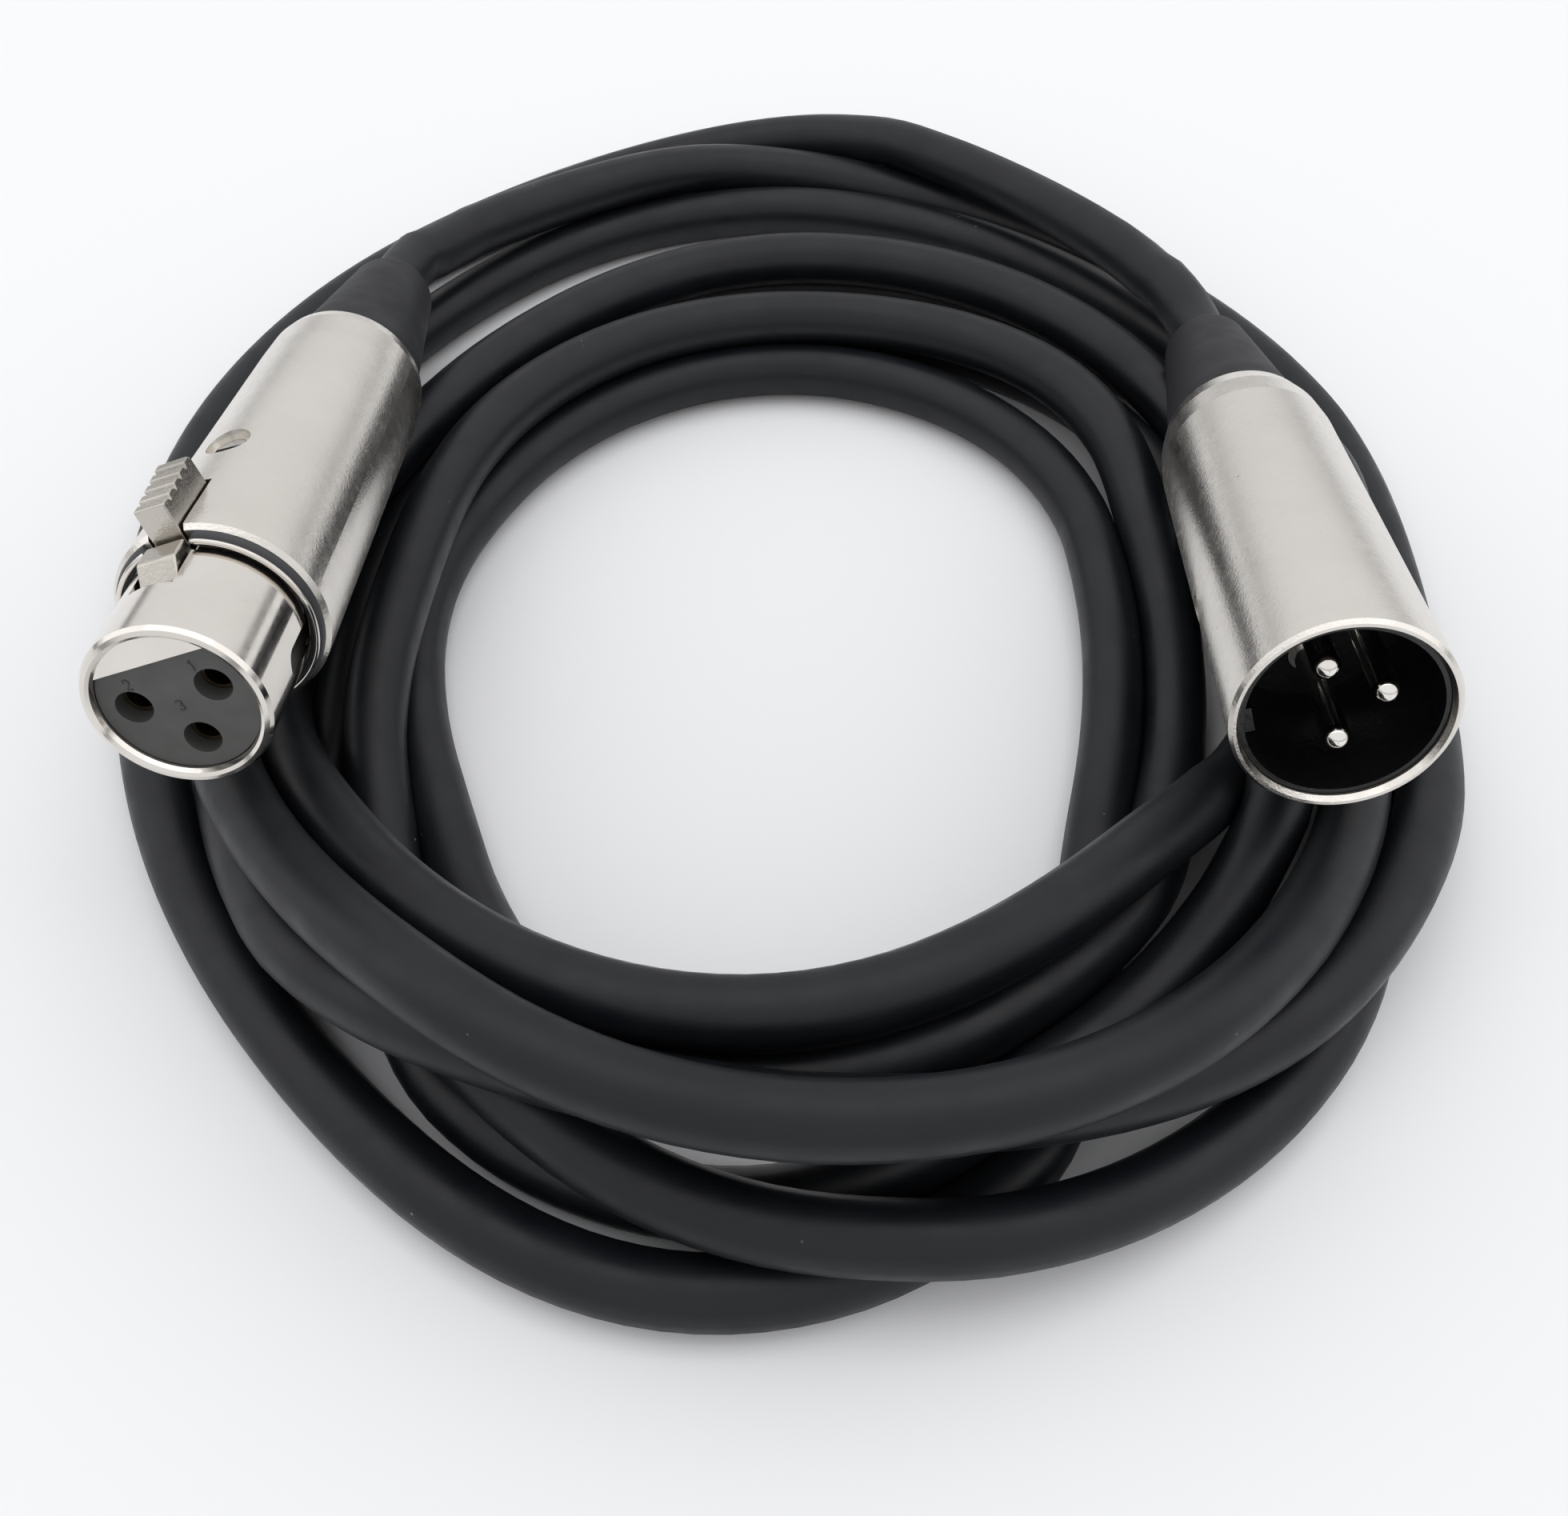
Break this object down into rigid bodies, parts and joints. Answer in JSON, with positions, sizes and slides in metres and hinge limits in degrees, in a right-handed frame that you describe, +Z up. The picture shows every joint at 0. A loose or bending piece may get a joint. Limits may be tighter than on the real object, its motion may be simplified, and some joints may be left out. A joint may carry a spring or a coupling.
{
  "type": "microphone cable coil",
  "caption": "Coiled round black microphone cable, lying flat, with a metal three-contact plug and a latching metal socket resting on the turns.",
  "frame": {"origin": "middle of the whole object's footprint, on the surface it lies on", "axes": "+Z up, +Y along the coil's long dimension away from the connectors' mouths, +X to the right seen from the mouths"},
  "size_m": [0.14, 0.181, 0.0379],
  "materials": {
    "cable_jacket": "matte to satin PVC jacket",
    "satin_nickel": "satin die-cast, fine orange-peel grain",
    "polished_nickel": "polished nickel plate",
    "grey_insulator": "moulded, matte",
    "black_insulator": "moulded, slightly glossy",
    "gold_contact": "plated contact",
    "pin_silver": "polished plated pin",
    "latch_steel": "darker, worn, slightly rough",
    "steel": "machined",
    "dark_plastic": "moulded",
    "boot_rubber": "charcoal, matte"
  },
  "bodies": {
    "cable": {"cable_coil": "cable_jacket", "male_lead": "cable_jacket", "female_lead": "cable_jacket", "female_shell": "satin_nickel", "female_nose": "polished_nickel", "female_ring": "polished_nickel", "female_insert": "grey_insulator", "female_contacts": "gold_contact", "latch_pivot": "steel", "latch_spring": "steel", "female_set_screw": "steel", "female_collet": "dark_plastic", "female_gland": "dark_plastic", "female_boot": "boot_rubber", "female_cable_end": "cable_jacket", "male_shell": "satin_nickel", "male_insert": "black_insulator", "male_pins": "pin_silver", "male_set_screw": "steel", "male_collet": "dark_plastic", "male_gland": "dark_plastic", "male_boot": "boot_rubber", "male_cable_end": "cable_jacket"},
    "latch": {"female_latch": "latch_steel"}
  },
  "joints": [
    {"name": "latch_hinge", "type": "hinge", "parent": "cable", "child": "latch", "pos_m": [-0.05042, -0.02433, 0.0299], "axis": [0.9415, 0.0263, 0.336], "range_deg": [0, 5], "stiffness_Nm_per_rad": 0.15, "springref_deg": -4.58, "deforming": ["latch_spring"]}
  ]
}
